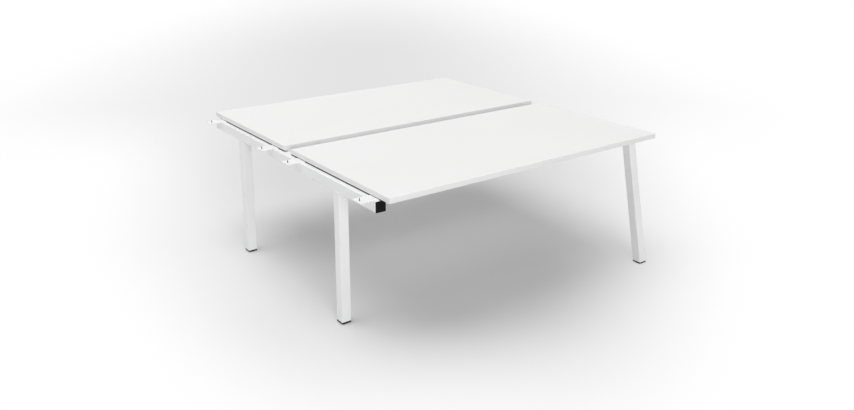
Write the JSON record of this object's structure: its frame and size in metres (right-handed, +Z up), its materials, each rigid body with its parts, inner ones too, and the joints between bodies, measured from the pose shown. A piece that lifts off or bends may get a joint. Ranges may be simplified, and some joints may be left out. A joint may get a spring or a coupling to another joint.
{
  "type": "benching desk for two",
  "caption": "White back-to-back desk: rectangular tops with a cable gap between them, on a shared square-tube frame with link plates and an end frame with splayed legs.",
  "frame": {"origin": "on the floor, under the middle of the desk's bounding box", "axes": "+X along the desk from the shared frame to the end frame, -Y the front of the picture, +Z up"},
  "size_m": [1.8, 1.859, 0.74],
  "materials": {
    "melamine_board": "white melamine on chipboard, fine pearl texture",
    "edging": "satin plastic edging",
    "white_powder_coat": "satin white powder coat",
    "black_plastic": "fine moulded texture",
    "zinc_steel": "bright zinc plating",
    "black_zinc_steel": "black passivated zinc plating"
  },
  "bodies": {
    "desk": {"front_top_board": "melamine_board", "front_top_edge_front": "edging", "front_top_edge_back": "edging", "front_top_edge_left": "edging", "front_top_edge_right": "edging", "rear_top_board": "melamine_board", "rear_top_edge_front": "edging", "rear_top_edge_back": "edging", "rear_top_edge_left": "edging", "rear_top_edge_right": "edging", "shared_beam": "white_powder_coat", "shared_leg_front": "white_powder_coat", "shared_leg_rear": "white_powder_coat", "end_beam": "white_powder_coat", "end_leg_front": "white_powder_coat", "end_leg_rear": "white_powder_coat", "stretcher_front": "white_powder_coat", "stretcher_rear": "white_powder_coat", "link_plate_front_outer": "white_powder_coat", "end_plate_front_outer": "white_powder_coat", "top_screw_shared_front_outer": "black_zinc_steel", "top_screw_end_front_outer": "black_zinc_steel", "link_plate_front_inner": "white_powder_coat", "end_plate_front_inner": "white_powder_coat", "top_screw_shared_front_inner": "black_zinc_steel", "top_screw_end_front_inner": "black_zinc_steel", "link_plate_rear_inner": "white_powder_coat", "end_plate_rear_inner": "white_powder_coat", "top_screw_shared_rear_inner": "black_zinc_steel", "top_screw_end_rear_inner": "black_zinc_steel", "link_plate_rear_outer": "white_powder_coat", "end_plate_rear_outer": "white_powder_coat", "top_screw_shared_rear_outer": "black_zinc_steel", "top_screw_end_rear_outer": "black_zinc_steel", "shared_beam_cap_front": "black_plastic", "stretcher_flange_front_left": "white_powder_coat", "flange_bolt_front_left_a": "zinc_steel", "flange_bolt_front_left_b": "zinc_steel", "stretcher_flange_front_right": "white_powder_coat", "flange_bolt_front_right_a": "zinc_steel", "flange_bolt_front_right_b": "zinc_steel", "shared_beam_cap_rear": "black_plastic", "stretcher_flange_rear_left": "white_powder_coat", "flange_bolt_rear_left_a": "zinc_steel", "flange_bolt_rear_left_b": "zinc_steel", "stretcher_flange_rear_right": "white_powder_coat", "flange_bolt_rear_right_a": "zinc_steel", "flange_bolt_rear_right_b": "zinc_steel", "foot_insert_shared_front": "black_plastic", "foot_insert_shared_rear": "black_plastic", "foot_insert_end_front": "black_plastic", "foot_insert_end_rear": "black_plastic"},
    "pad_shared_front": {"foot_pad_shared_front": "black_plastic"},
    "stud_shared_front": {"foot_stud_shared_front": "zinc_steel"},
    "pad_shared_rear": {"foot_pad_shared_rear": "black_plastic"},
    "stud_shared_rear": {"foot_stud_shared_rear": "zinc_steel"},
    "pad_end_front": {"foot_pad_end_front": "black_plastic"},
    "stud_end_front": {"foot_stud_end_front": "zinc_steel"},
    "pad_end_rear": {"foot_pad_end_rear": "black_plastic"},
    "stud_end_rear": {"foot_stud_end_rear": "zinc_steel"}
  },
  "joints": [
    {"name": "foot_slide_shared_front", "type": "slide", "parent": "desk", "child": "pad_shared_front", "axis": [0, 0, -1], "range_m": [0, 0.015]},
    {"name": "stud_turn_shared_front", "type": "hinge", "parent": "pad_shared_front", "child": "stud_shared_front", "pos_m": [-0.81, -0.522, 0], "axis": [0, 0, -1], "range_deg": [-1, 3601]},
    {"name": "foot_slide_shared_rear", "type": "slide", "parent": "desk", "child": "pad_shared_rear", "axis": [0, 0, -1], "range_m": [0, 0.015]},
    {"name": "stud_turn_shared_rear", "type": "hinge", "parent": "pad_shared_rear", "child": "stud_shared_rear", "pos_m": [-0.81, 0.522, 0], "axis": [0, 0, -1], "range_deg": [-1, 3601]},
    {"name": "foot_slide_end_front", "type": "slide", "parent": "desk", "child": "pad_end_front", "axis": [0, 0, -1], "range_m": [0, 0.015]},
    {"name": "stud_turn_end_front", "type": "hinge", "parent": "pad_end_front", "child": "stud_end_front", "pos_m": [0.865, -0.904, 0], "axis": [0, 0, -1], "range_deg": [-1, 3601]},
    {"name": "foot_slide_end_rear", "type": "slide", "parent": "desk", "child": "pad_end_rear", "axis": [0, 0, -1], "range_m": [0, 0.015]},
    {"name": "stud_turn_end_rear", "type": "hinge", "parent": "pad_end_rear", "child": "stud_end_rear", "pos_m": [0.865, 0.904, 0], "axis": [0, 0, -1], "range_deg": [-1, 3601]}
  ],
  "couplings": [
    {"joint": "stud_turn_shared_front", "follows": "foot_slide_shared_front", "rad_per_m": 4188.8},
    {"joint": "stud_turn_shared_rear", "follows": "foot_slide_shared_rear", "rad_per_m": 4188.8},
    {"joint": "stud_turn_end_front", "follows": "foot_slide_end_front", "rad_per_m": 4188.8},
    {"joint": "stud_turn_end_rear", "follows": "foot_slide_end_rear", "rad_per_m": 4188.8}
  ]
}
